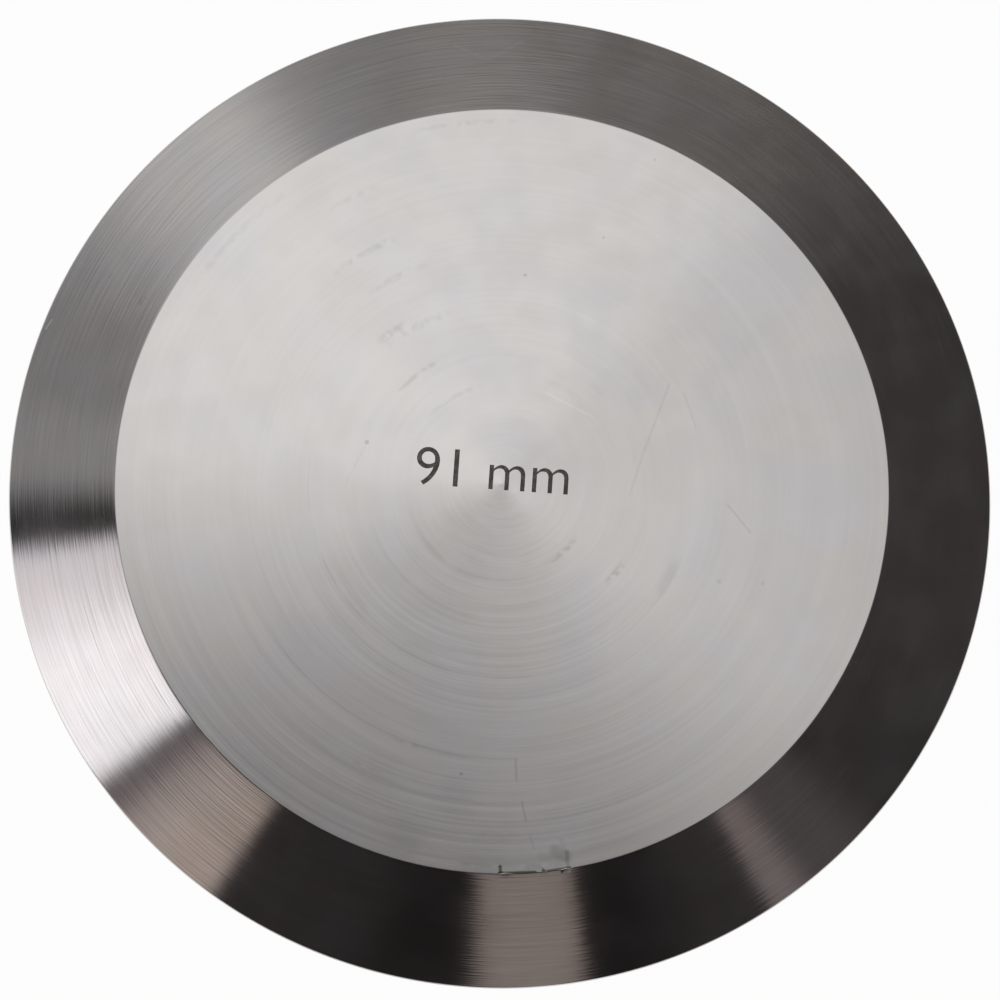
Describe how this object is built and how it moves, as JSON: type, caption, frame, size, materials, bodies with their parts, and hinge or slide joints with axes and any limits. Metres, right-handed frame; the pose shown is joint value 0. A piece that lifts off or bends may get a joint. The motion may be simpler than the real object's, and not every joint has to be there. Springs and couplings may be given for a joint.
{
  "type": "sanitary clamp end cap",
  "caption": "Solid round stainless steel end cap with a flat outer face, a clamp taper, a thin cylindrical rim and a gasket groove in its sealing face.",
  "frame": {"origin": "centre of the sealing face, at the bottom of the cap", "axes": "+Z along the axis of the disc, from the sealing face to the outer face; +X is the way the size mark on the outer face reads"},
  "size_m": [0.091, 0.091, 0.0065],
  "materials": {
    "turned_stainless": "bare stainless steel, lathe turned: fine concentric tool lines, satin outer face, brighter taper"
  },
  "bodies": {
    "root": {"end_cap": "turned_stainless"}
  },
  "joints": []
}
